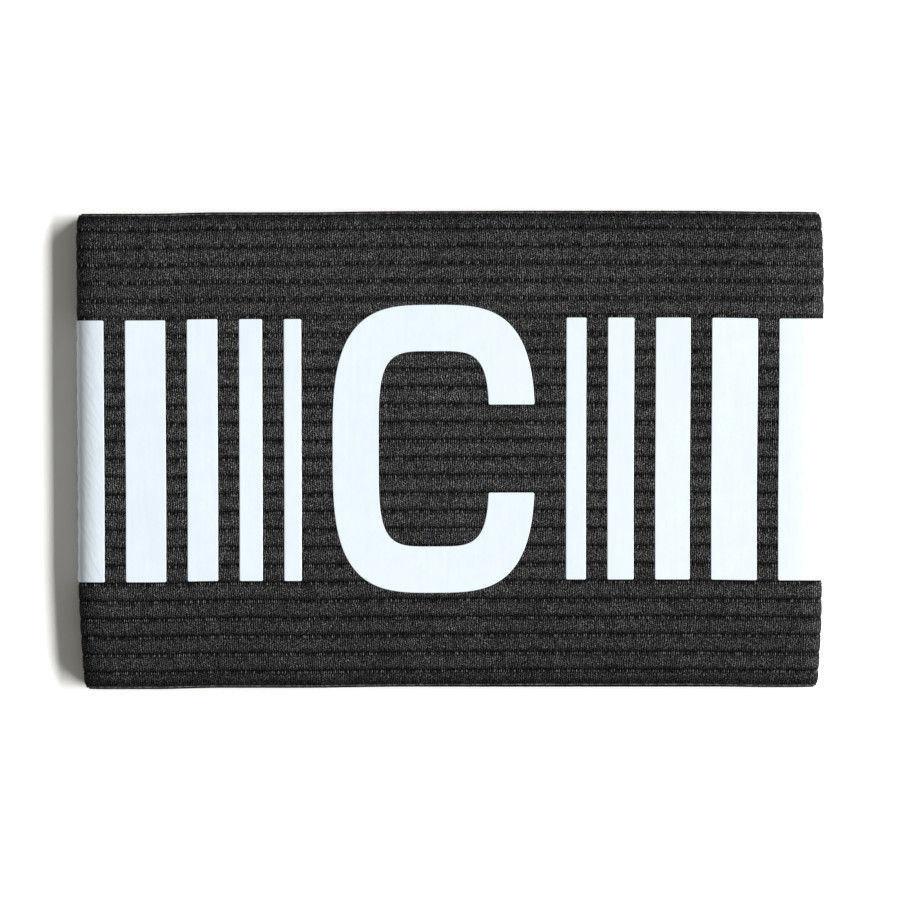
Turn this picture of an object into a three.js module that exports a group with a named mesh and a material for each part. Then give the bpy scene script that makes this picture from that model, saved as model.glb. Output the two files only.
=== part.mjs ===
// A captain's armband: a closed loop of wide ribbed elastic with a printed letter and printed bars.
// It lies flat on a table, letter up, as it comes out of its packet.
// Millimetres. X runs along the ribs from fold to fold, Y across the band, and +Z is up.
// The origin is on the table, under the middle of the loop.

import * as THREE from "three";
import { ParametricGeometry } from "three/addons/geometries/ParametricGeometry.js";

// The elastic loop as it lies
const FLAT_LENGTH = 126; // from fold to fold
const BAND_WIDTH = 80; // from edge to edge
const FOLD_RADIUS = 1.9; // of a fold's upper and lower round
const FOLD_SIDE = 2; // the upright stretch between those two
const FOLD_LEAN = 34; // degrees at which the upper layer still leans where it runs into a fold
const RISE = 0.9; // how far the upper layer climbs from there
const CROWN = 0.5; // how far it bows up in its middle besides
const WALL = 1.3; // one layer, from rib to rib
const RIB_COUNT = 27;
const RIB_RELIEF = 0.35; // how deep the grooves between the ribs are
const SELVEDGE = 0.25; // the plain edge beside the last rib

// The printed film
const FILM = 0.25; // its thickness
const FILM_CLEARANCE = 0.3; // between the ribs and the film
const PRINT_SHIFT = -2.75; // the print's middle, from the loop's middle
const LEFT_WRAP = 0.76; // how far round the left fold the print goes, as a share of the fold
const RIGHT_WRAP = 0.5; // the same at the right fold
const LETTER_WIDTH = 34.2;
const LETTER_HEIGHT = 48.4;
const LETTER_STROKE = 7.8;
const LETTER_MOUTH = 14.8; // height of the opening at the letter's right
const OUTER_POWER = 3.3; // of the oval outside the stroke: 2 is an ellipse, and more is squarer
const INNER_POWER = 4.4; // of the oval inside the stroke
const BAR_COUNT = 5; // on each side of the letter
const BAR_HEIGHT = 44;
const BAR_TAPER = 0.76; // each bar's width as a share of its outer neighbour's
const BAR_GAP = 3.6;
const LETTER_TO_BARS = 5.2;

// One rib's outer face, from groove to groove: across as a share of the pitch, height of the relief
const OUTER_RIB = [
  { across: 0, height: 0 },
  { across: 0.16, height: 0.8 },
  { across: 0.36, height: 1 },
  { across: 0.64, height: 1 },
  { across: 0.84, height: 0.8 },
];

// The same for the inner face, which lies against the arm
const INNER_RIB = [
  { across: 0, height: 0 },
  { across: 0.5, height: 1 },
];

// How far each fold line stands back from the loop's full length, as a share of that length.
// across runs from -1 at the lower edge to 1 at the upper edge.
const FOLD_LINE = [
  { across: -1, left: 0.0125, right: 0.009 },
  { across: -0.92, left: 0.0094, right: 0.0067 },
  { across: -0.72, left: 0.0052, right: 0.003 },
  { across: -0.55, left: 0.0028, right: 0.0026 },
  { across: -0.2, left: 0.0026, right: 0.0026 },
  { across: 0.3, left: 0.0013, right: 0.0008 },
  { across: 0.75, left: 0.0006, right: 0 },
  { across: 0.92, left: 0, right: 0.0018 },
  { across: 1, left: 0.0018, right: 0.0045 },
];

// How the upper and the lower layer bow sideways, as shares of the band's width.
// along runs from -1 at the left fold to 1 at the right fold.
const BOW = [
  { along: -1, upper: -0.003, lower: -0.003 },
  { along: -0.78, upper: -0.003, lower: -0.0024 },
  { along: -0.66, upper: -0.0002, lower: 0.0004 },
  { along: -0.36, upper: 0, lower: 0.0006 },
  { along: -0.18, upper: 0.0022, lower: 0.0004 },
  { along: 0.2, upper: 0.0032, lower: 0.0002 },
  { along: 0.68, upper: 0.0032, lower: 0.0004 },
  { along: 0.85, upper: 0.0012, lower: 0.0006 },
  { along: 1, upper: 0.0012, lower: 0.0012 },
];

// How finely the curves are cut into flat faces
const ROUND_STEPS = 3; // in each round of a fold
const LOWER_STEPS = 3;
const RISE_STATIONS = [0.85, 2.7]; // on the upper layer near a fold, as shares of the climb's reach
const CROWN_STATION = 0.55; // farther in on the upper layer, as a share of its half length
const LETTER_STEPS = 44; // along each side of the letter's stroke
const FILM_STEP = 1.1; // the longest face of a film that goes round a fold
const FILM_ROWS = 4;

// Sizes that follow from those above
const RIB_PITCH = (BAND_WIDTH - 2 * SELVEDGE) / RIB_COUNT;
const LEAN = THREE.MathUtils.degToRad(FOLD_LEAN);
const UPPER_ROUND = (Math.PI / 2 - LEAN) * FOLD_RADIUS;
const LOWER_ROUND = (Math.PI / 2) * FOLD_RADIUS;
const FOLD_ARC = UPPER_ROUND + FOLD_SIDE + LOWER_ROUND;
const RISE_REACH = RISE / Math.tan(LEAN); // the climb dies out over a few of these
const HALF_UPPER = FLAT_LENGTH / 2 - FOLD_RADIUS * (1 - Math.sin(LEAN)); // from the middle to a fold
const HALF_LOWER = FLAT_LENGTH / 2 - FOLD_RADIUS;
const LOOP_LENGTH = 2 * (HALF_UPPER + FOLD_ARC + HALF_LOWER);
const BAR_START = LETTER_WIDTH / 2 + LETTER_TO_BARS; // from the print's middle

const elastic = new THREE.MeshStandardMaterial({ color: 0x363738, roughness: 0.9, metalness: 0 });
const film = new THREE.MeshStandardMaterial({ color: 0xeaf3fb, roughness: 0.45, metalness: 0 });

// A column of a table at a place between its rows, on straight lines from row to row.
function reading(table, key, column, at) {
  const next = Math.max(1, table.findIndex((row) => row[key] >= at));
  const low = table[next - 1];
  const high = table[next];
  const share = THREE.MathUtils.clamp((at - low[key]) / (high[key] - low[key]), 0, 1);
  return THREE.MathUtils.lerp(low[column], high[column], share);
}

// The outer face at a distance along it from the top's middle, towards +X or -X, with the direction
// that faces out of the loop there.
function faceAt(distance) {
  const side = Math.sign(distance) || 1;
  const way = Math.abs(distance);
  if (way <= HALF_UPPER) {
    const q = way / HALF_UPPER;
    const fading = Math.exp((way - HALF_UPPER) / RISE_REACH);
    const foot = FOLD_RADIUS * (1 + Math.cos(LEAN)) + FOLD_SIDE;
    const z = foot + RISE * (1 - fading) + CROWN * (1 - q ** 4) ** 2;
    const fall = (RISE / RISE_REACH) * fading + (CROWN * 8 * q ** 3 * (1 - q ** 4)) / HALF_UPPER;
    return { x: distance, z, out: new THREE.Vector2(side * fall, 1).normalize() };
  }
  if (way <= HALF_UPPER + FOLD_ARC) {
    const down = way - HALF_UPPER;
    const fallen = THREE.MathUtils.clamp(down - UPPER_ROUND, 0, FOLD_SIDE);
    const turn = LEAN + (down - fallen) / FOLD_RADIUS;
    const out = new THREE.Vector2(side * Math.sin(turn), Math.cos(turn));
    const z = FOLD_RADIUS * (1 + out.y) + FOLD_SIDE - fallen;
    return { x: side * (HALF_LOWER + FOLD_RADIUS * Math.sin(turn)), z, out };
  }
  const back = way - HALF_UPPER - FOLD_ARC;
  return { x: side * (HALF_LOWER - back), z: 0, out: new THREE.Vector2(0, -1) };
}

// Where a point of the band lies: its distance along the outer face, its place across the band,
// and its height off the middle of the layer.
function place(distance, across, off, target) {
  const at = faceAt(distance);
  const lift = off - WALL / 2;
  const x = at.x + lift * at.out.x;
  const edge = THREE.MathUtils.clamp(across / (BAND_WIDTH / 2), -1, 1);
  const inset = reading(FOLD_LINE, "across", x < 0 ? "left" : "right", edge);
  const along = THREE.MathUtils.clamp(x / (FLAT_LENGTH / 2), -1, 1);
  const upper = reading(BOW, "along", "upper", along);
  const lower = reading(BOW, "along", "lower", along);
  const drift = THREE.MathUtils.lerp(upper, lower, (1 - at.out.y) / 2) * BAND_WIDTH;
  return target.set(x * (1 - 2 * inset), across + drift, at.z + lift * at.out.y);
}

// The band's cut end as a closed outline: the outer ribs, one edge, the inner ribs and the other edge.
function bandOutline() {
  const groove = WALL / 2 - RIB_RELIEF;
  const start = SELVEDGE - BAND_WIDTH / 2;
  const face = (rib) => {
    const points = [];
    for (let i = 0; i < RIB_COUNT; i++)
      for (const p of rib)
        points.push([start + (i + p.across) * RIB_PITCH, groove + p.height * RIB_RELIEF]);
    points.push([-start, groove]);
    return points;
  };
  const edge = [
    [BAND_WIDTH / 2, groove / 2],
    [BAND_WIDTH / 2, -groove / 2],
  ];
  const outer = face(OUTER_RIB);
  const inner = face(INNER_RIB).map(([across, off]) => [-across, -off]);
  return [...outer, ...edge, ...inner, ...edge.map(([across, off]) => [-across, -off])];
}

// The distances along the outer face at which the outline is set: few where the loop is straight.
function stations() {
  const near = [0, ...RISE_STATIONS.map((share) => share * RISE_REACH)];
  const list = [
    ...near.map((distance) => distance - HALF_UPPER),
    -CROWN_STATION * HALF_UPPER,
    CROWN_STATION * HALF_UPPER,
    ...near.slice(1).reverse().map((distance) => HALF_UPPER - distance),
  ];
  const fold = [
    { length: UPPER_ROUND, steps: ROUND_STEPS },
    { length: FOLD_SIDE, steps: 1 },
    { length: LOWER_ROUND, steps: ROUND_STEPS },
  ];
  const stretches = [...fold, { length: 2 * HALF_LOWER, steps: LOWER_STEPS }, ...fold.toReversed()];
  let from = HALF_UPPER;
  for (const { length, steps } of stretches) {
    for (let i = 0; i < steps; i++) list.push(from + (length * i) / steps);
    from += length;
  }
  return list.map((distance) => (distance > LOOP_LENGTH / 2 ? distance - LOOP_LENGTH : distance));
}

// The elastic: its outline carried once round the loop, so that it closes on itself both ways.
function ribbedBand() {
  const outline = bandOutline();
  const along = stations();
  const surface = (u, v, target) => {
    const distance = along[Math.round(u * along.length) % along.length];
    const [across, off] = outline[Math.round(v * outline.length) % outline.length];
    place(distance, across, off, target);
  };
  const mesh = new THREE.Mesh(new ParametricGeometry(surface, along.length, outline.length), elastic);
  mesh.name = "ribbed_band";
  return mesh;
}

// Lays a flat piece of film onto the band. In the flat piece, X is the distance from the print's
// middle, Y is the place across the band, and Z runs up from 0 at the film's under face.
function layOn(flat, name) {
  const points = flat.getAttribute("position");
  const under = WALL / 2 + FILM_CLEARANCE;
  const laid = new THREE.Vector3();
  for (let i = 0; i < points.count; i++) {
    place(points.getX(i) + PRINT_SHIFT, points.getY(i), points.getZ(i) + under, laid);
    points.setXYZ(i, laid.x, laid.y, laid.z);
  }
  flat.computeVertexNormals();
  const mesh = new THREE.Mesh(flat, film);
  mesh.name = name;
  return mesh;
}

// A plain block C: the ring between two squared ovals, cut off level above and below its mouth.
function letter() {
  const width = LETTER_WIDTH / 2;
  const height = LETTER_HEIGHT / 2;
  const outside = openOval(width, height, OUTER_POWER);
  const inside = openOval(width - LETTER_STROKE, height - LETTER_STROKE, INNER_POWER);
  const flat = new THREE.ExtrudeGeometry(new THREE.Shape([...outside, ...inside.reverse()]), {
    depth: FILM,
    bevelEnabled: false,
  });
  return layOn(flat, "letter_c");
}

// A squared oval, |x / a|^p + |y / b|^p = 1, anticlockwise from where it meets the upper side of the
// letter's mouth to where it meets the lower side. Each point is found along its own direction.
function openOval(a, b, power) {
  const mouth = LETTER_MOUTH / 2;
  const first = Math.atan2(mouth, a * (1 - (mouth / b) ** power) ** (1 / power));
  const points = [];
  for (let i = 0; i <= LETTER_STEPS; i++) {
    const angle = first + (2 * (Math.PI - first) * i) / LETTER_STEPS;
    const [x, y] = [Math.cos(angle), Math.sin(angle)];
    const reach = (Math.abs(x / a) ** power + Math.abs(y / b) ** power) ** (-1 / power);
    points.push(new THREE.Vector2(x * reach, y * reach));
  }
  return points;
}

// The bars on one side of the letter, which get wider towards the fold. side is 1 or -1, and wrap is
// how far round that fold they go. The widths are a geometric series that, with the gaps, fills the
// print from its start to its end.
function bars(side, sideName, wrap) {
  const end = HALF_UPPER + wrap * FOLD_ARC - side * PRINT_SHIFT;
  const series = (1 - BAR_TAPER ** BAR_COUNT) / (1 - BAR_TAPER);
  const widest = (end - BAR_START - (BAR_COUNT - 1) * BAR_GAP) / series;
  const made = [];
  let from = BAR_START;
  for (let i = 0; i < BAR_COUNT; i++) {
    const width = widest * BAR_TAPER ** (BAR_COUNT - 1 - i);
    const steps = Math.ceil(width / FILM_STEP);
    const flat = new THREE.BoxGeometry(width, BAR_HEIGHT, FILM, steps, FILM_ROWS, 1);
    flat.translate(side * (from + width / 2), 0, FILM / 2);
    made.push(layOn(flat, `bar_${sideName}_${i + 1}`));
    from += width + BAR_GAP;
  }
  return made;
}

const armband = new THREE.Group();
armband.name = "captain_armband";
armband.add(ribbedBand(), letter(), ...bars(-1, "left", LEFT_WRAP), ...bars(1, "right", RIGHT_WRAP));

export default armband;
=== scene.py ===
# %% [markdown]
# # A captain's armband in ribbed elastic
# The armband is one closed loop of wide elastic, knitted in thick ribs that run round the arm. A white
# film is pressed onto it with heat: a letter in the middle and upright bars on each side. It lies flat on a
# pale table, folded by its own shape into an upper and a lower layer, and is seen straight from above.
#
# This lesson rebuilds it from formulas. Every surface is a function of two numbers, worked out with numpy
# as whole arrays, so a size that changes carries through to everything that lies on it.

import bpy
import numpy as np
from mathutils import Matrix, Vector


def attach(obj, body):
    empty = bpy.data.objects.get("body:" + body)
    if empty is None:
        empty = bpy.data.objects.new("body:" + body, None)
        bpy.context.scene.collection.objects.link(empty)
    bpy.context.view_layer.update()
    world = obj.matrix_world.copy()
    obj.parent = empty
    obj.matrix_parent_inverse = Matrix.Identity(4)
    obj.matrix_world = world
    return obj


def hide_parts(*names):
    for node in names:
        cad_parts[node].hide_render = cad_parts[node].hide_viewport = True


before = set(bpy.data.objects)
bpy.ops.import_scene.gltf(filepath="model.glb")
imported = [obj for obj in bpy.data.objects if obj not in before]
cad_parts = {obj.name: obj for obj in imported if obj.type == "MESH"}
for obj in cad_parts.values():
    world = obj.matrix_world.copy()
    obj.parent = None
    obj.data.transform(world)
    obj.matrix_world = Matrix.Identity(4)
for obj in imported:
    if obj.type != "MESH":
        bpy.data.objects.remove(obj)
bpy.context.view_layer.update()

MM = 0.001

# %% [markdown]
# ## Shader maths as expressions
# A knit is hundreds of small sums: which yarn, which row, how far from the yarn's middle. Drawn as boxes
# and wires they are hard to read. So one small class wraps a socket, and its operators add the Math nodes.
# Then `1 - mask * 0.4` in Python is the same sum in the material.

# %% Paint and Value
class Value:
    """A socket inside an expression. Each operator adds one Math node and returns its result."""

    def __init__(self, paint, socket):
        self.paint = paint
        self.socket = socket

    def maths(self, operation, *values):
        return self.paint.node("ShaderNodeMath", {"operation": operation}, dict(enumerate(values)))

    def __add__(self, other):
        return self.maths("ADD", self, other)

    def __radd__(self, other):
        return self.maths("ADD", other, self)

    def __sub__(self, other):
        return self.maths("SUBTRACT", self, other)

    def __rsub__(self, other):
        return self.maths("SUBTRACT", other, self)

    def __mul__(self, other):
        return self.maths("MULTIPLY", self, other)

    def __rmul__(self, other):
        return self.maths("MULTIPLY", other, self)

    def __truediv__(self, other):
        return self.maths("DIVIDE", self, other)

    def __pow__(self, other):
        return self.maths("POWER", self, other)

    def __abs__(self):
        return self.maths("ABSOLUTE", self)

    def floor(self):
        return self.maths("FLOOR", self)

    def fraction(self):
        return self.maths("FRACT", self)

    def step(self, low, high, start=0.0, end=1.0):
        """Goes smoothly from start to end as the value goes from low to high, and stays there."""
        sockets = {"Value": self, "From Min": low, "From Max": high, "To Min": start, "To Max": end}
        return self.paint.node("ShaderNodeMapRange", {"interpolation_type": "SMOOTHSTEP"}, sockets)


class Paint:
    """One material, whose nodes are made by expressions."""

    def __init__(self, name, **constants):
        self.material = bpy.data.materials.new(name)
        self.material.use_nodes = True
        self.tree = self.material.node_tree
        self.shader = self.tree.nodes["Principled BSDF"]
        for socket, value in constants.items():
            self.set(socket.replace("_", " "), value)

    def join(self, socket, value):
        if isinstance(value, Value):
            self.tree.links.new(value.socket, socket)
        else:
            socket.default_value = value

    def set(self, name, value):
        self.join(self.shader.inputs[name], value)

    def node(self, kind, settings=(), sockets=(), output=0):
        """Adds a node: its settings first, then the values or links of its sockets."""
        made = self.tree.nodes.new(kind)
        for name, value in dict(settings).items():
            setattr(made, name, value)
        for name, value in dict(sockets).items():
            self.join(made.inputs[name], value)
        return Value(self, made.outputs[output])

    def cloth(self):
        """The place on the cloth in millimetres: along the loop, and across the band."""
        uv = self.node("ShaderNodeUVMap", {"uv_map": "cloth"})
        parts = self.node("ShaderNodeSeparateXYZ", sockets={0: uv})
        node = parts.socket.node
        return Value(self, node.outputs[0]), Value(self, node.outputs[1])

    def point(self, x, y, z):
        return self.node("ShaderNodeCombineXYZ", sockets={0: x, 1: y, 2: z})

    def noise(self, x, y, scale, detail, seed):
        """Smooth noise from 0 to 1 at a place on the cloth."""
        sockets = {"Vector": self.point(x, y, seed), "Scale": scale, "Detail": detail}
        return self.node("ShaderNodeTexNoise", {"noise_dimensions": "3D"}, sockets)

    def dice(self, x, y, seed):
        """A random number from 0 to 1 for each whole x and y."""
        sockets = {"Vector": self.point(x, y, seed)}
        return self.node("ShaderNodeTexWhiteNoise", {"noise_dimensions": "3D"}, sockets)

    def mix(self, share, first, second):
        """A colour between two others."""
        sockets = {0: share, 6: first, 7: second}
        return self.node("ShaderNodeMix", {"data_type": "RGBA"}, sockets, output=2)

    def tint(self, colour, strength):
        """A colour times a number."""
        sockets = {0: colour, 3: strength}
        return self.node("ShaderNodeVectorMath", {"operation": "SCALE"}, sockets)

    def bump(self, height, distance, strength):
        """Lets a height from 0 to 1, times a distance, bend the light."""
        sockets = {"Height": height, "Distance": distance, "Strength": strength}
        self.set("Normal", self.node("ShaderNodeBump", sockets=sockets))


# %% [markdown]
# ## Meshes from grids
# A surface that is worked out on a grid needs only one way into Blender: corner points as rows and columns,
# and a four-sided face between each pair of rows and columns. The band closes on itself both ways, like a
# flattened tyre. A film is closed round its section and gets a cap at each end. The signed volume tells
# whether the faces point out, and if it is negative they are all turned round.

# %% Mesh helpers
def signed_volume(points, faces):
    """The sum, over triangles fanned from each face's first corner, of a . (b x c) / 6."""
    a = points[faces[:, 0]]
    total = 0.0
    for k in range(1, faces.shape[1] - 1):
        b, c = points[faces[:, k]], points[faces[:, k + 1]]
        total += float(np.einsum("ij,ij->i", a, np.cross(b, c)).sum()) / 6
    return total


def add_piece(name, points, faces, paint, corner_uv=None):
    """Puts points and faces into a mesh object, with its cloth coordinates where it has them."""
    if signed_volume(points, faces) < 0:
        faces = faces[:, ::-1]
        corner_uv = None if corner_uv is None else corner_uv[:, ::-1]
    mesh = bpy.data.meshes.new(name)
    mesh.vertices.add(len(points))
    mesh.vertices.foreach_set("co", np.ascontiguousarray(points, dtype=np.float32).ravel())
    mesh.loops.add(faces.size)
    mesh.loops.foreach_set("vertex_index", np.ascontiguousarray(faces, dtype=np.int32).ravel())
    mesh.polygons.add(len(faces))
    mesh.polygons.foreach_set("loop_start", np.arange(0, faces.size, faces.shape[1], dtype=np.int32))
    mesh.update(calc_edges=True)
    mesh.shade_smooth()
    if corner_uv is not None:
        layer = mesh.uv_layers.new(name="cloth")
        layer.data.foreach_set("uv", np.ascontiguousarray(corner_uv, dtype=np.float32).ravel())
    mesh.validate()
    mesh.materials.append(paint.material)
    piece = bpy.data.objects.new(name, mesh)
    bpy.context.scene.collection.objects.link(piece)
    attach(piece, "root")
    print(name, len(points), "points", len(faces) * (faces.shape[1] - 2), "triangles")
    return piece


def grid_faces(rows, columns, close_rows, close_columns):
    """Four corners for each cell of a grid, whose last row or column may join its first."""
    i = np.arange(rows if close_rows else rows - 1)[:, None]
    j = np.arange(columns if close_columns else columns - 1)[None, :]
    down, right = (i + 1) % rows, (j + 1) % columns
    cell = [i * columns + j, down * columns + j, down * columns + right, i * columns + right]
    return np.stack(np.broadcast_arrays(*cell), axis=-1).reshape(-1, 4)


def grid_uv(u, v):
    """The cloth coordinates of each cell's four corners, from those of the rows and of the columns."""
    cell = [(u[:-1, None], v[None, :-1]), (u[1:, None], v[None, :-1]),
            (u[1:, None], v[None, 1:]), (u[:-1, None], v[None, 1:])]
    corners = [np.stack(np.broadcast_arrays(a, b), axis=-1) for a, b in cell]
    return np.stack(corners, axis=2).reshape(-1, 4, 2)


# %% [markdown]
# ## How the elastic lies
# A loop of elastic laid on a table doesn't go quite flat. Each end springs open into a fold, which turns
# tightly above and below and is upright between. The upper layer climbs out of it, first steeply and then
# hardly at all, and spans over the lower one. So a place on the cloth is two numbers, the distance along
# the outer face and the place across the band, and one function bends them onto that path. Everything sewn
# or printed on the band goes through it too, which keeps a print on its cloth even round a fold.
#
# No real band is exact. Two short tables hold how far each fold line stands back along the width and how
# the layers bow sideways, as shares of the band's own sizes.

# %% Sizes of the band
FLAT_LENGTH = 126 * MM
BAND_WIDTH = 80 * MM
FOLD_RADIUS = 1.9 * MM  # of a fold's upper and lower round
FOLD_SIDE = 2 * MM  # the upright stretch between them
LEAN = np.radians(34)  # of the upper layer where it runs into a fold
RISE = 0.9 * MM  # how far it climbs from there
CROWN = 0.5 * MM  # and how far it bows up in its middle besides
WALL = 1.3 * MM
RIB_COUNT = 27
RIB_PITCH = 2.975 * MM  # the two ribs at the edges share what is left of the width
SELVEDGE = 0.25 * MM  # the plain edge beside the last rib
UPPER_ROUND = (np.pi / 2 - LEAN) * FOLD_RADIUS
LOWER_ROUND = np.pi / 2 * FOLD_RADIUS
FOLD_ARC = UPPER_ROUND + FOLD_SIDE + LOWER_ROUND
RISE_REACH = RISE / np.tan(LEAN)
HALF_UPPER = FLAT_LENGTH / 2 - FOLD_RADIUS * (1 - np.sin(LEAN))
HALF_LOWER = FLAT_LENGTH / 2 - FOLD_RADIUS
LOOP_LENGTH = 2 * (HALF_UPPER + FOLD_ARC + HALF_LOWER)
print("once round the loop", round(LOOP_LENGTH / MM, 1), "mm")

# across, left, right: how far the fold lines stand back, as shares of the length
FOLD_LINE = np.array([
    (-1.00, 0.0125, 0.0090),
    (-0.92, 0.0094, 0.0067),
    (-0.72, 0.0052, 0.0030),
    (-0.55, 0.0028, 0.0026),
    (-0.20, 0.0026, 0.0026),
    (0.30, 0.0013, 0.0008),
    (0.75, 0.0006, 0.0000),
    (0.92, 0.0000, 0.0018),
    (1.00, 0.0018, 0.0045),
])
# along, upper, lower: how the layers bow sideways, as shares of the width
BOW = np.array([
    (-1.00, -0.0030, -0.0030),
    (-0.78, -0.0030, -0.0024),
    (-0.66, -0.0002, 0.0004),
    (-0.36, 0.0000, 0.0006),
    (-0.18, 0.0022, 0.0004),
    (0.20, 0.0032, 0.0002),
    (0.68, 0.0032, 0.0004),
    (0.85, 0.0012, 0.0006),
    (1.00, 0.0012, 0.0012),
])
EASING = 0.03  # a table's straight stretches are averaged this far to each side


def eased(table, column, at):
    """A column of a table on straight lines from row to row, averaged over a short stretch."""
    shifts = np.linspace(-EASING, EASING, 5)
    return sum(np.interp(at + s, table[:, 0], table[:, column]) for s in shifts) / len(shifts)


# wavelength along, wavelength across, turn, height: slow swells of the upper layer
SWELLS = [
    (61 * MM, 47 * MM, 0.4, 0.04 * MM),
    (37 * MM, -83 * MM, 2.1, 0.03 * MM),
    (23 * MM, 29 * MM, 4.0, 0.015 * MM),
]


def laid(distance, across, off):
    """Where a point of the band lies.

    On the upper layer x is the distance, and with q from 0 in the middle to 1 at the fold and s the way
    left to the fold, z is the fold's top + rise (1 - e^(-s / reach)) + crown (1 - q^4)^2. Past that the
    distance goes down the fold: an angle that starts at the lean, the upright side, and the angle again.
    Past the fold it runs back along the table. off counts from the layer's middle, in the direction that
    faces out. Slow sine swells lift the upper layer, and the two tables shift the result along and across.
    """
    distance, across, off = np.broadcast_arrays(distance, across, off)
    side = np.where(distance < 0, -1.0, 1.0)
    way = np.abs(distance)
    on_top = way < HALF_UPPER
    q = np.clip(way / HALF_UPPER, 0, 1)
    fading = np.exp((np.minimum(way, HALF_UPPER) - HALF_UPPER) / RISE_REACH)
    fall = RISE / RISE_REACH * fading + CROWN * 8 * q ** 3 * (1 - q ** 4) / HALF_UPPER
    down = np.clip(way - HALF_UPPER, 0, FOLD_ARC)
    upright = np.clip(down - UPPER_ROUND, 0, FOLD_SIDE)
    turn = LEAN + (down - upright) / FOLD_RADIUS
    back = np.clip(way - HALF_UPPER - FOLD_ARC, 0, None)
    tilt = np.where(on_top, np.arctan(fall), turn)
    out_x, out_z = side * np.sin(tilt), np.cos(tilt)
    lift = off - WALL / 2
    foot = FOLD_RADIUS * (1 + np.cos(turn)) + FOLD_SIDE - upright
    x = np.where(on_top, way, HALF_LOWER + FOLD_RADIUS * np.sin(turn) - back) * side + lift * out_x
    z = foot + np.where(on_top, RISE * (1 - fading) + CROWN * (1 - q ** 4) ** 2, 0) + lift * out_z
    for long, wide, phase, height in SWELLS:
        z = z + (1 - q ** 4) * height * np.sin(2 * np.pi * (distance / long + across / wide) + phase)
    edge = np.clip(across / (BAND_WIDTH / 2), -1, 1)
    inset = np.where(x < 0, eased(FOLD_LINE, 1, edge), eased(FOLD_LINE, 2, edge))
    along = np.clip(x / (FLAT_LENGTH / 2), -1, 1)
    drift = eased(BOW, 1, along) * (1 + out_z) / 2 + eased(BOW, 2, along) * (1 - out_z) / 2
    return np.stack([x * (1 - 2 * inset), across + drift * BAND_WIDTH, z], axis=-1)


# %% [markdown]
# ## Ribs
# Rubber threads run inside each rib, so a rib is a soft round cushion and the groove beside it is tight.
# A power curve gives that form: flat on top, steep at the sides. The ribs at the two edges have nothing to
# lean on and roll over further. Round a fold the ribs are pulled over the bend and flatten a little, so the
# band's outline is gently scalloped there.

# %% Rib relief
RELIEF = 0.42 * MM  # from a crest down into a groove, on the outer face
INNER_RELIEF = 0.3 * MM
RIB_POWER = 3.4  # 2 would be a round rib, and more is flatter on top
EDGE_DROP = 0.25 * MM  # how much further than into a groove the rib at each edge rolls down
FOLD_PULL = 0.15  # the share of the relief that a fold pulls flat
RIM = BAND_WIDTH / 2 - SELVEDGE  # where the outermost ribs end
LAST_GROOVE = (RIB_COUNT / 2 - 1) * RIB_PITCH
EDGE_RIB = RIM - LAST_GROOVE
CLIMB_STEPS, UPPER_STEPS, FOLD_STEPS, LOWER_STEPS = 14, 80, 26, 40  # of the mesh, along each stretch


def rib_across(place):
    """Where a place lies across the band, counted in ribs: 0 at the lower rim, 1 in the first groove."""
    return np.interp(place, [0, 1, RIB_COUNT - 1, RIB_COUNT], [-RIM, -LAST_GROOVE, LAST_GROOVE, RIM])


def rib_place(across):
    """The same the other way round."""
    return np.interp(across, [-RIM, -LAST_GROOVE, LAST_GROOVE, RIM], [0, 1, RIB_COUNT - 1, RIB_COUNT])


def smooth(s):
    """Goes from 0 to 1 as s does, level at both ends: s^2 (3 - 2s)."""
    s = np.clip(s, 0, 1)
    return s ** 2 * (3 - 2 * s)


def bent(distance):
    """From 0 on the layers to 1 on a fold. It grows smoothly over a fold's outer quarters."""
    from_middle = np.abs(np.abs(distance) - HALF_UPPER - FOLD_ARC / 2)
    return smooth(2 - 4 * from_middle / FOLD_ARC)


def outer_dip(across):
    """How far a place is from a rib's crest, t from 0 to 1, and the dip there, 1 - (1 - t^p) ^ 0.5."""
    place = rib_place(across)
    t = np.abs(2 * (place - np.minimum(np.floor(place), RIB_COUNT - 1)) - 1)
    return t, 1 - np.sqrt(np.clip(1 - t ** RIB_POWER, 0, 1))


def outer_off(across, bend=0.0):
    """The outer face above the layer's middle: WALL / 2 on the crests, less by the dips.

    A dip is RELIEF deep, and less on a fold. The outer halves of the two edge ribs fall by t^2 times
    the edge's drop besides.
    """
    t, dip = outer_dip(across)
    at_edge = np.abs(across) > RIM - EDGE_RIB / 2
    return WALL / 2 - RELIEF * (1 - FOLD_PULL * bend) * dip - EDGE_DROP * at_edge * t ** 2


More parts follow.
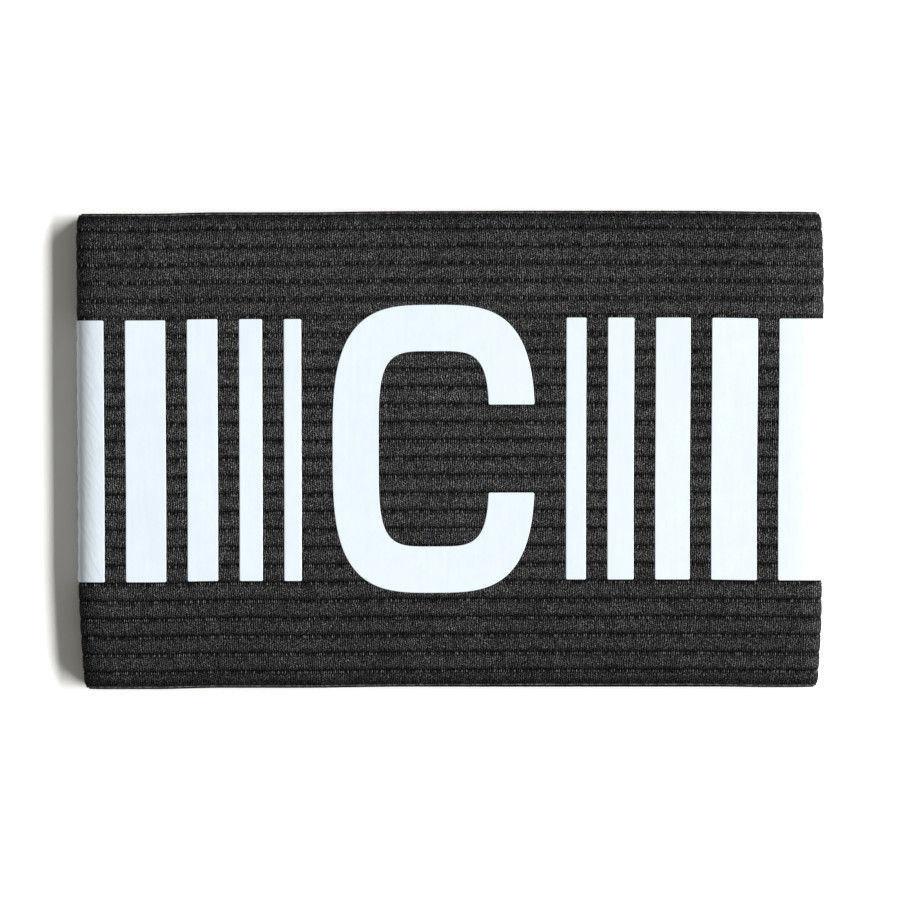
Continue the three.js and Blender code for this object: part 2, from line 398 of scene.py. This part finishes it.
def band_outline():
    """The band's cut end as a closed outline: outer ribs, one edge, inner ribs, the other edge.

    Besides the places across and their heights it gives how far a fold lifts each of them. The steps
    go from one end of a rib to the other, from -1 to 1, closer together near the grooves.
    """
    steps = np.array([-1, -0.975, -0.93, -0.86, -0.74, -0.52, -0.2, 0.2, 0.52, 0.74, 0.86, 0.93, 0.975])
    rib = np.arange(RIB_COUNT)[:, None]
    outer = rib_across(np.append(rib + (1 + steps) / 2, RIB_COUNT))
    inner_steps = np.array([-1, -0.6, -0.2, 0.2, 0.6])
    inner_place = np.append(rib + (1 + inner_steps) / 2, RIB_COUNT)
    inner = rib_across(inner_place)
    low = WALL / 2 - INNER_RELIEF
    inner_height = low + INNER_RELIEF * np.sin(np.pi * inner_place) ** 2
    round_steps = np.linspace(0, np.pi, 6)[1:-1]
    edge_across = RIM + SELVEDGE * np.sin(round_steps)
    edge_high = WALL / 2 - RELIEF - EDGE_DROP
    edge_off = (edge_high - low) / 2 + (edge_high + low) / 2 * np.cos(round_steps)
    across = np.concatenate([outer, edge_across, inner[::-1], -edge_across])
    off = np.concatenate([outer_off(outer), edge_off, -inner_height[::-1], edge_off[::-1]])
    fading = (1 + np.cos(round_steps)) / 2
    lift = np.concatenate([outer_dip(outer)[1], fading, np.zeros_like(inner), fading[::-1]])
    return across, off, FOLD_PULL * RELIEF * lift


def stations():
    """Distances round the loop: even on the layers, closer together on the folds."""
    climb = 4 * RISE_REACH
    stretches = [(climb, CLIMB_STEPS), (2 * (HALF_UPPER - climb), UPPER_STEPS), (climb, CLIMB_STEPS),
                 (FOLD_ARC, FOLD_STEPS), (2 * HALF_LOWER, LOWER_STEPS), (FOLD_ARC, FOLD_STEPS)]
    starts = np.cumsum([-HALF_UPPER] + [length for length, _ in stretches])
    parts = [start + np.arange(count) * length / count for start, (length, count) in zip(starts, stretches)]
    return np.concatenate(parts)


def wrapped(distance):
    """Brings a distance past the middle of the lower layer back to the other side."""
    return np.where(distance > LOOP_LENGTH / 2, distance - LOOP_LENGTH, distance)


# %% [markdown]
# ## The knit
# Under a lens the elastic is rows of tiny strokes. Each is a yarn that crosses the rib, and neighbours lean
# opposite ways. A noise texture alone would look like sandpaper. So the material counts: it divides the
# cloth into cells one yarn wide and one row high, draws a leaning oval in each, and rolls a dice per cell
# for how light that yarn is. That lightness is partly the yarn's sheen, painted into the colour. Shade is
# painted in too: beside each groove, on the rolled ribs at both edges, and towards both edges as the sheen
# fades. The pattern reads the cloth's own coordinates, so it follows the folds.

# %% Knit material
YARN = 0.375  # mm from yarn to yarn along the rib
ROW = 0.36  # mm from stroke to stroke of one yarn
GROUND = 0.002  # how light the knit is between its strokes
STROKE_LIGHT = 0.084
SPECK_LIGHT = 0.04
BLUISH = (0.975, 1.0, 1.04, 1)
BROWNISH = (1.01, 1.0, 0.98, 1)
SHIFT_ALONG, SHIFT_ACROSS = 0.8, 0.5  # mm: how far a slow noise shifts the cells
STROKE_WIDTH, WIDTH_SCATTER = 0.27, 0.12  # half a stroke's width, as a share of a yarn
STROKE_LEAN, LEAN_SCATTER = 0.25, 0.7  # yarns to the side for each row of length
DARK_TONE, TONE_SCATTER = 0.30, 0.75
TURN_LOW, TURN_HIGH = 6.0, 46.0  # mm across: between them the slow flank changes sides


def knit_strokes(paint, u, v):
    """A leaning oval for each yarn and row: its shape from 0 to 1, and its tone.

    A slow noise shifts the cells, each yarn starts its rows at a place of its own, and neighbours lean
    opposite ways. The dice give each oval its own lean, width and tone.
    """
    a = (u + (paint.noise(u, v, 0.7, 1, 3.1) - 0.5) * SHIFT_ALONG) / YARN
    yarn = a.floor()
    b = (v + (paint.noise(u, v, 0.7, 1, 8.7) - 0.5) * SHIFT_ACROSS) / ROW + paint.dice(yarn, 0.0, 3.0)
    row = b.floor()
    down = b.fraction() - 0.5
    own_lean = (paint.dice(yarn, row, 9.0) - 0.5) * LEAN_SCATTER
    lean = ((yarn + row) / 2).fraction() - STROKE_LEAN + own_lean
    beside = a.fraction() - 0.5 + lean * down
    width = STROKE_WIDTH + paint.dice(yarn, row, 7.0) * WIDTH_SCATTER
    oval = (beside / width) ** 2 + (abs(down) / 0.5) ** 3
    return oval.step(1.1, 0.15), DARK_TONE + paint.dice(yarn, row, 11.0) ** 1.3 * TONE_SCATTER


def groove_shade(v):
    """Dark in the grooves and 1 on the crests.

    A place is so many mm above one groove and below the next. One flank clears slowly, over about a
    millimetre, and the other at once. It is the flank above a groove that clears slowly on most of the
    band, and the one below it near the top edge. The ribs roll over at both edges and are darker there too.
    All of this is painted shade: the shade in the grooves, on their flanks and on the rolled edges.
    """
    pitch = RIB_PITCH / MM
    above = (v / pitch + RIB_COUNT / 2).fraction() * pitch
    below = pitch - above
    slow_above = above.step(0.06, 1.00, 0.26, 1.0) * below.step(0.36, 0.80, 0.46, 1.0)
    slow_below = below.step(0.06, 1.00, 0.26, 1.0) * above.step(0.28, 0.66, 0.50, 1.0)
    flanks = slow_above + (slow_below - slow_above) * v.step(TURN_LOW, TURN_HIGH)
    from_edge = BAND_WIDTH / 2 / MM - abs(v)
    return flanks * from_edge.step(0.7, 2.5, 0.34, 1.0)


knit = Paint("ribbed_knit", Roughness=0.85, Specular_IOR_Level=0.03)
u, v = knit.cloth()
stroke, tone = knit_strokes(knit, u, v)
fine = knit.noise(u, v, 5.0, 1, 1.7).step(0.36, 0.64)
speck = knit.noise(u, v, 4.0, 1, 6.3).step(0.58, 0.70)
# The lightness of the strokes and specks is partly their own tone and partly the yarn's sheen, painted into
# the colour, as the material is kept nearly matte.
yarns = (stroke * tone * STROKE_LIGHT + speck * SPECK_LIGHT) * (0.45 + fine * 1.1)
cloud = knit.noise(u, v, 0.11, 3, 5.2).step(0.3, 0.7, 0.90, 1.10)
# Painted sheen: the knit is painted darker towards both edges, most towards the lower one, where its sheen
# fades.
painted_sheen_fade = v.step(-38.0, -4.0, 0.72, 1.0) * v.step(40.0, 12.0, 0.90, 1.0)  # towards both edges
hue = knit.mix(knit.noise(u, v, 1.1, 2, 4.4).step(0.4, 0.6), BLUISH, BROWNISH)
knit.set("Base Color", knit.tint(hue, (GROUND + yarns) * groove_shade(v) * cloud * painted_sheen_fade))
knit.bump(stroke * (0.6 + tone * 0.4) + fine * 0.25, 0.05 * MM, 0.5)

# %% The elastic loop
across, off, fold_lift = band_outline()
distance = stations()
off = off[None, :] + bent(wrapped(distance))[:, None] * fold_lift[None, :]
points = laid(wrapped(distance)[:, None], across[None, :], off)
u_rows = np.append(distance, distance[0] + LOOP_LENGTH) / MM
v_columns = np.append(across, across[0]) / MM
faces = grid_faces(len(distance), len(across), True, True)
band = add_piece("elastic_loop", points.reshape(-1, 3), faces, knit, grid_uv(u_rows, v_columns))
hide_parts("ribbed_band")

# %% [markdown]
# ## Stitches in the grooves
# Between two ribs the yarns dive down to the ground of the knit and come up beside the groove as a row of
# small beads, one to each yarn. They catch the light, and their colour carries a painted highlight too, so
# each groove reads as a dark line with a dotted one beside it. There are about eighteen thousand, so each
# bead is only sixteen triangles: two tips and two rings of four. All beads of a layer are worked out as one
# array and joined into one mesh.

# %% Groove stitches
BEAD_LONG = 0.52 * MM
BEAD_WIDE = 0.16 * MM
BEAD_HIGH = 0.22 * MM
BEAD_DEPTH = 0.24 * MM  # how far under the crests a bead dives at most
BEAD_ASIDE = 0.17 * MM  # how far beside the groove it comes up
BEAD_RING = 0.27  # how far its rings are from its middle, as a share of its length
BEAD_LEAN, BEAD_LEAN_SCATTER = 0.10, 0.08
BEAD_SCATTER = 0.035 * MM  # along and across
random = np.random.default_rng(27)


def bead_shape():
    """Two tips and two rings of four, as shares of a bead's width, length and height, and its faces."""
    ring = np.array([(1, 0), (0, 1), (-1, 0), (0, -1)]) / 2
    low = np.column_stack([ring[:, 0], np.full(4, -BEAD_RING), ring[:, 1]])
    high = np.column_stack([ring[:, 0], np.full(4, BEAD_RING), ring[:, 1]])
    corners = np.vstack([low, high, [(0, -0.5, 0)], [(0, 0.5, 0)]])
    k = np.arange(4)
    n = (k + 1) % 4
    sides = [np.column_stack([k, n, n + 4]), np.column_stack([k, n + 4, k + 4])]
    tips = [np.column_stack([n, k, np.full(4, 8)]), np.column_stack([k + 4, n + 4, np.full(4, 9)])]
    return corners, np.vstack(sides + tips)


def groove_stitches(name, start, end, paint):
    """A bead for each yarn and groove from one distance to another, leaning left and right in turn.

    The row of beads lies beside the groove, on the flank that clears at once, and follows its slope. No
    bead is deeper than BEAD_DEPTH and none stands above the crests.
    """
    corners, corner_faces = bead_shape()
    yarn = np.arange(np.ceil(start / (YARN * MM)), np.floor(end / (YARN * MM)))
    groove = rib_across(np.arange(1, RIB_COUNT))
    along, over = (g.ravel()[:, None] for g in np.meshgrid((yarn + 0.5) * YARN * MM, groove))
    count = len(along)
    turn = np.tile(np.where(yarn % 2 == 0, 1.0, -1.0), len(groove))[:, None]
    lean = turn * BEAD_LEAN + random.normal(0, BEAD_LEAN_SCATTER, (count, 1))
    size = random.uniform(0.82, 1.15, (count, 1))
    turned = smooth((over / MM - TURN_LOW) / (TURN_HIGH - TURN_LOW))
    aside = BEAD_ASIDE * (2 * turned - 1)
    along = along + random.normal(0, BEAD_SCATTER, (count, 1))
    over = over + aside + random.normal(0, BEAD_SCATTER, (count, 1))
    dy = corners[:, 1] * BEAD_LONG * size
    dx = corners[:, 0] * BEAD_WIDE * size + lean * dy
    distance = wrapped(along + dx)
    seat = np.maximum(outer_off(over + dy, bent(distance)), WALL / 2 - BEAD_DEPTH)
    seat = np.minimum(seat, WALL / 2 - BEAD_HIGH / 2 * size)
    points = laid(distance, over + dy, seat + corners[:, 2] * BEAD_HIGH * size).reshape(-1, 3)
    faces = (corner_faces[None] + len(corners) * np.arange(count)[:, None, None]).reshape(-1, 3)
    piece = add_piece(name, points, faces, paint)
    tone = piece.data.attributes.new("tone", "FLOAT", "POINT")
    tone.data.foreach_set("value", np.repeat(random.random(count) ** 2, len(corners)).astype(np.float32))
    return piece


stitch = Paint("groove_stitch", Roughness=0.7, Specular_IOR_Level=0.1)
bead_tone = stitch.node("ShaderNodeAttribute", {"attribute_name": "tone"}, output=2)
# Each bead has a random tone, and its lightness is partly a painted highlight.
stitch.set("Base Color", stitch.mix(bead_tone, (0.004, 0.004, 0.004, 1), (0.125, 0.125, 0.123, 1)))

upper_reach = HALF_UPPER + FOLD_ARC
upper_stitches = groove_stitches("stitches_upper", -upper_reach, upper_reach, stitch)
lower_stitches = groove_stitches("stitches_lower", upper_reach, LOOP_LENGTH - upper_reach, stitch)

# %% [markdown]
# ## Edge threads
# A knitted edge is closed by a chain of thread, so that it doesn't ladder. From above it is a hairline of
# small loops, lighter than the rolled rib beside it. One tube for each edge runs once round the loop. Its
# radius swells and shrinks once a yarn, and the swell winds round the tube like the turns of a thread.

# %% Edge threads
THREAD_RADIUS = 0.12 * MM
THREAD_INSET = 0.36 * MM  # from the band's edge
THREAD_SEAT = 0.02 * MM  # how far above the rib's face its middle lies
THREAD_SWELL = 0.3
THREAD_SIDES = 8
STEPS_PER_YARN = 4


def edge_thread(name, side, paint):
    """A closed tube along one edge. Its radius is r (1 + swell cos(2 pi distance / yarn + angle))."""
    count = int(round(LOOP_LENGTH / (YARN * MM))) * STEPS_PER_YARN
    distance = -HALF_UPPER + np.arange(count) * LOOP_LENGTH / count
    angle = np.arange(THREAD_SIDES) * 2 * np.pi / THREAD_SIDES
    winding = 2 * np.pi * np.arange(count)[:, None] / STEPS_PER_YARN + angle
    radius = THREAD_RADIUS * (1 + THREAD_SWELL * np.cos(winding))
    middle = side * (BAND_WIDTH / 2 - THREAD_INSET)
    over = middle + radius * np.cos(angle)
    off = outer_off(middle) + THREAD_SEAT + radius * np.sin(angle)
    points = laid(wrapped(distance)[:, None], over, off).reshape(-1, 3)
    u = np.append(distance, distance[0] + LOOP_LENGTH) / MM
    v = np.append(angle, 2 * np.pi)
    faces = grid_faces(count, THREAD_SIDES, True, True)
    piece = add_piece(name, points, faces, paint, grid_uv(u, v))
    return piece


thread = Paint("edge_thread", Roughness=0.7, Specular_IOR_Level=0.1)
u, v = thread.cloth()
loop_tone = thread.dice((u / YARN).floor(), 0.0, 4.4) ** 2
thread.set("Base Color", thread.mix(loop_tone, (0.02, 0.02, 0.02, 1), (0.085, 0.085, 0.085, 1)))
upper_thread = edge_thread("edge_thread_top", 1, thread)
lower_thread = edge_thread("edge_thread_bottom", -1, thread)

# %% [markdown]
# ## The printed film
# The letter and the bars are cut from a thin white film and pressed on with heat. The film bridges the ribs
# and is smooth on the flat, but round a fold it is pulled into the grooves and creases finely. Each piece
# is a thin strip between two long rims: two straight lines for a bar, and two squared ovals for the letter,
# which are cut off level at its mouth. One builder takes any two rims and gives the strip its thickness.

# %% Film sizes
FILM = 0.09 * MM  # its thickness
FILM_SINK = 0.05 * MM  # how far its under face is pressed below the crests
FLAT_DIP, FOLD_DIP = 0.012 * MM, 0.12 * MM  # how far it follows a groove on the flat, and more on a fold
FILM_CELL = 0.24 * MM  # of its mesh, at most
PRINT_SHIFT = -2.75 * MM  # the print's middle, from the loop's middle
LEFT_WRAP, RIGHT_WRAP = 0.76, 0.5  # how far round each fold the print goes, as a share of the fold
LETTER_WIDTH, LETTER_HEIGHT = 34.2 * MM, 48.4 * MM
LETTER_STROKE = 7.8 * MM
LETTER_MOUTH = 14.8 * MM  # height of the opening at the letter's right
OUTER_POWER, INNER_POWER = 3.3, 4.4  # of the ovals: 2 is an ellipse, and more is squarer
OVAL_POINTS = 480
BAR_COUNT = 5
BAR_HEIGHT = 44 * MM
BAR_TAPER = 0.76  # each bar's width as a share of its outer neighbour's
BAR_GAP = 3.6 * MM
LETTER_TO_BARS = 5.2 * MM
BAR_START = LETTER_WIDTH / 2 + LETTER_TO_BARS
CUT_CORNER = 0.25 * MM  # radius of a cut film's corners


def film_base(distance, across):
    """The film's under face above the layer's middle: just under the crests, and lower over a groove.

    The dip over a groove is cos^6 of the place in the rib. It is slight on the flat and grows to its
    full depth round a fold.
    """
    dip = np.cos(np.pi * rib_place(across)) ** 6
    bend = np.clip((np.abs(distance) - HALF_UPPER) / (0.3 * FOLD_ARC), 0, 1)
    return WALL / 2 - FILM_SINK - dip * (FLAT_DIP + FOLD_DIP * bend)


def film_strip(name, first_rim, second_rim, paint):
    """A thin closed strip of film between two rims, with a cap at each end.

    A point is first + p (second - first), with p from 0 to 1 and closer together near the rims. Within
    a film's thickness of a rim the upper face rounds down as a quarter circle. At the two ends each rim
    draws in by a small circle's arc, which rounds the corners.
    """
    width = np.linalg.norm(second_rim - first_rim, axis=1)
    columns = max(11, int(width.max() / FILM_CELL))
    p = (1 - np.cos(np.pi * np.linspace(0, 1, columns))) / 2
    run = np.concatenate([[0], np.cumsum(np.linalg.norm(np.diff(first_rim, axis=0), axis=1))])
    from_end = np.clip(np.minimum(run, run[-1] - run), 0, CUT_CORNER)
    draw = (CUT_CORNER - np.sqrt(CUT_CORNER ** 2 - (CUT_CORNER - from_end) ** 2)) / width
    p = draw[:, None] + (1 - 2 * draw[:, None]) * p
    flat = first_rim[:, None] + p[:, :, None] * (second_rim - first_rim)[:, None]
    distance, across = flat[:, :, 0] + PRINT_SHIFT, flat[:, :, 1]
    in_from_rim = np.minimum(p, 1 - p) * width[:, None] - (draw * width)[:, None]
    rounding = 0.3 + 0.7 * np.sqrt(1 - (1 - np.clip(in_from_rim / FILM, 0, 1)) ** 2)
    base = film_base(distance, across)
    top = laid(distance, across, base + FILM * rounding)
    bottom = laid(distance, across, base)[:, ::-1]
    points = np.concatenate([top, bottom], axis=1)
    rows, around = points.shape[:2]
    body = grid_faces(rows, around, False, True)
    k = np.arange(columns - 1)
    cap = np.stack([k, k + 1, around - 2 - k, around - 1 - k], axis=-1)
    faces = np.concatenate([body, cap, (cap + (rows - 1) * around)[:, ::-1]])
    uv = np.stack([np.concatenate([g, g[:, ::-1]], axis=1) for g in (distance, across)], axis=-1) / MM
    piece = add_piece(name, points.reshape(-1, 3), faces, paint, uv.reshape(-1, 2)[faces])
    return piece


def open_oval(a, b, power):
    """A squared oval, |x / a|^p + |y / b|^p = 1, from one side of the letter's mouth to the other.

    Each point lies in its own direction, at (|cos / a|^p + |sin / b|^p) ^ (-1 / p) from the middle. The
    directions are even, but closer together next to the mouth, where the film's corners are.
    """
    mouth = LETTER_MOUTH / 2
    first = np.arctan2(mouth, a * (1 - (mouth / b) ** power) ** (1 / power))
    last = 2 * np.pi - first
    near_mouth = 0.004 * np.array([0, 1, 2, 3, 5, 8, 12])
    even = np.linspace(first + 0.06, last - 0.06, OVAL_POINTS)
    angle = np.concatenate([first + near_mouth, even, last - near_mouth[::-1]])
    x, y = np.cos(angle), np.sin(angle)
    reach = (np.abs(x / a) ** power + np.abs(y / b) ** power) ** (-1 / power)
    return np.column_stack([x * reach, y * reach])


# %% Film material
FILM_WHITE = (0.470, 0.519, 0.566)  # the light is strong, so this comes out nearly white
CREASE_HEIGHT = 10.0  # of the creases on a fold, in heights of the film's own grain
film = Paint("white_film", Roughness=0.42, Specular_IOR_Level=0.3)
u, v = film.cloth()
streak = film.noise(u * 1.4, v * 0.10, 1.0, 3, 2.2).step(0.25, 0.75, 0.985, 1.01)
patch = film.noise(u, v, 0.35, 3, 6.5).step(0.3, 0.7, 0.985, 1.01)
film.set("Base Color", film.tint(FILM_WHITE, streak * patch))
film.set("Roughness", film.noise(u, v, 1.8, 3, 9.1).step(0.3, 0.7, 0.38, 0.5))
on_fold = abs(u).step(HALF_UPPER / MM - 6.0, HALF_UPPER / MM - 1.0, 0.0, CREASE_HEIGHT)
creases = film.noise(u + v * 0.5, v * 0.45, 1.3, 3, 3.3) * on_fold
film.bump(film.noise(u, v * 0.6, 1.2, 4, 7.7) + creases, 0.02 * MM, 0.35)

# %% Film pieces
half_width, half_height = LETTER_WIDTH / 2, LETTER_HEIGHT / 2
inside = open_oval(half_width - LETTER_STROKE, half_height - LETTER_STROKE, INNER_POWER)
letter = film_strip("letter_film", inside, open_oval(half_width, half_height, OUTER_POWER), film)
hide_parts("letter_c")

even = np.linspace(-1, 1, int(BAR_HEIGHT / FILM_CELL))
near_end = 1 - 0.0016 * np.arange(1, 6)  # more rows where the corners are round
over = BAR_HEIGHT / 2 * np.sort(np.concatenate([even, near_end, -near_end]))
series = (1 - BAR_TAPER ** BAR_COUNT) / (1 - BAR_TAPER)
for side, side_name, wrap in ((-1, "left", LEFT_WRAP), (1, "right", RIGHT_WRAP)):
    bar_end = HALF_UPPER + wrap * FOLD_ARC - side * PRINT_SHIFT
    widest = (bar_end - BAR_START - (BAR_COUNT - 1) * BAR_GAP) / series
    near = BAR_START
    for i in range(BAR_COUNT):
        far = near + widest * BAR_TAPER ** (BAR_COUNT - 1 - i)
        rims = [np.column_stack([np.full_like(over, side * x), over]) for x in (near, far)]
        bar = film_strip(f"film_bar_{side_name}_{i + 1}", *rims, film)
        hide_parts(f"bar_{side_name}_{i + 1}")
        near = far + BAR_GAP

# %% [markdown]
# ## Table, light and camera
# The picture is a plain product shot from straight above on a white table, so bright that the table goes
# fully white. The light comes from the right, as one long bank that runs in the direction of the band's
# width. It throws a short shadow to the left that fades at both ends. The room gives a little light from
# everywhere, which fills that shadow. A long lens keeps the sides from showing.

# %% Table
TABLE_REACH = 3.0
table_mesh = bpy.data.meshes.new("table")
corners = [(x * TABLE_REACH, y * TABLE_REACH, 0) for x, y in ((-1, -1), (1, -1), (1, 1), (-1, 1))]
table_mesh.from_pydata(corners, [], [(0, 1, 2, 3)])
table = bpy.data.objects.new("table", table_mesh)
bpy.context.scene.collection.objects.link(table)
white = Paint("white_table", Roughness=0.9, Specular_IOR_Level=0.1)
white.set("Base Color", (0.95, 0.95, 0.94, 1))
table_mesh.materials.append(white.material)

# %% Light
def light_bank(name, place, length, width, brightness):
    """A long area light along Y that faces the middle of the table and lights it as brightly as asked.

    A brightness of 1 makes a white surface on the table white. The power for that is
    pi^2 brightness length r^2 / (z (a + sin a cos a)), where a is the angle from the middle to an end.
    """
    place = Vector(place)
    half_angle = np.arctan(length / 2 / place.length)
    lamp = bpy.data.lights.new(name, "AREA")
    lamp.shape = "RECTANGLE"
    lamp.size, lamp.size_y = length, width
    spread = half_angle + np.sin(half_angle) * np.cos(half_angle)
    lamp.energy = np.pi ** 2 * brightness * length * place.length ** 2 / (place.z * spread)
    lit = bpy.data.objects.new(name, lamp)
    lit.location = place
    lit.rotation_euler = (-place).to_track_quat("-Z", "Y").to_euler()
    bpy.context.scene.collection.objects.link(lit)
    print(name, "has", round(lamp.energy, 1), "watts")


light_bank("bank", place=(11.6, 0, 8.9), length=20.8, width=5.8, brightness=1.65)

ROOM_LIGHT = 0.235
ROOM_COLOUR = (1.0, 0.965, 0.88, 1)
world = bpy.data.worlds.new("pale_room")
world.use_nodes = True
room = world.node_tree.nodes["Background"].inputs
room["Color"].default_value = ROOM_COLOUR
room["Strength"].default_value = ROOM_LIGHT
bpy.context.scene.world = world
bpy.context.scene.view_settings.view_transform = "Standard"

# %% Camera
LENS = 300.0
SENSOR = 36.0
PHOTO_PIXELS = 900
LOOP_PIXELS = 747.5  # the loop's length in the photograph
frame_width = PHOTO_PIXELS / LOOP_PIXELS * FLAT_LENGTH
camera_data = bpy.data.cameras.new("camera")
camera_data.lens = LENS
camera_data.sensor_width = SENSOR
camera = bpy.data.objects.new("camera", camera_data)
camera.location = (0, 0, FOLD_RADIUS + FOLD_SIDE / 2 + frame_width * LENS / SENSOR)
bpy.context.scene.collection.objects.link(camera)
bpy.context.scene.camera = camera

# %% [markdown]
# ## The cloth's cut length
# The band is cloth, cut to the width of the elastic by the length of its middle once round the loop.

# %% Finish
cut_length = LOOP_LENGTH - np.pi * WALL
